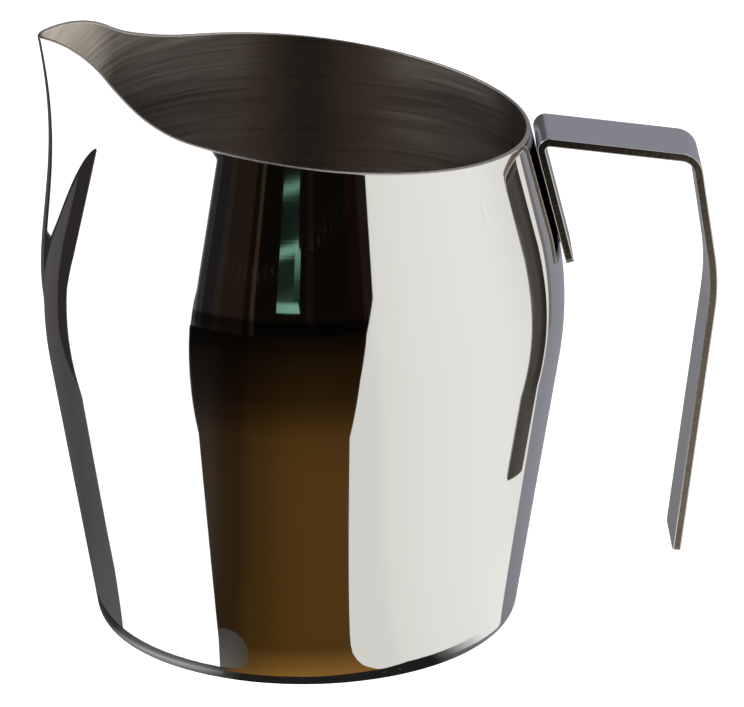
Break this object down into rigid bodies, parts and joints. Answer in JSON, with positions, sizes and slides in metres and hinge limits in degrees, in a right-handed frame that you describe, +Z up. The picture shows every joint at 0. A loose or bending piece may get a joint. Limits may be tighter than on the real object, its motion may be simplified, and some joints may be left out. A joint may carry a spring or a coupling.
{
  "type": "milk frothing pitcher",
  "caption": "Bellied steel pitcher with a slanted mouth, a pressed pouring spout and an open strap handle, for frothing and pouring milk.",
  "frame": {"origin": "middle of the flat base, on the axis of the cup", "axes": "+Z up along the axis of the cup, +X towards the handle, -X towards the spout; the X-Z plane is the plane of symmetry"},
  "size_m": [0.1205, 0.093, 0.11],
  "materials": {
    "polished_body": "mirror polished outside, satin inside",
    "brushed_strap": "fine polish with rounded arrises",
    "weld_metal": "as welded, dull"
  },
  "bodies": {
    "root": {"pitcher_body": "polished_body", "handle_strap": "brushed_strap", "spot_welds": "weld_metal"}
  },
  "joints": []
}
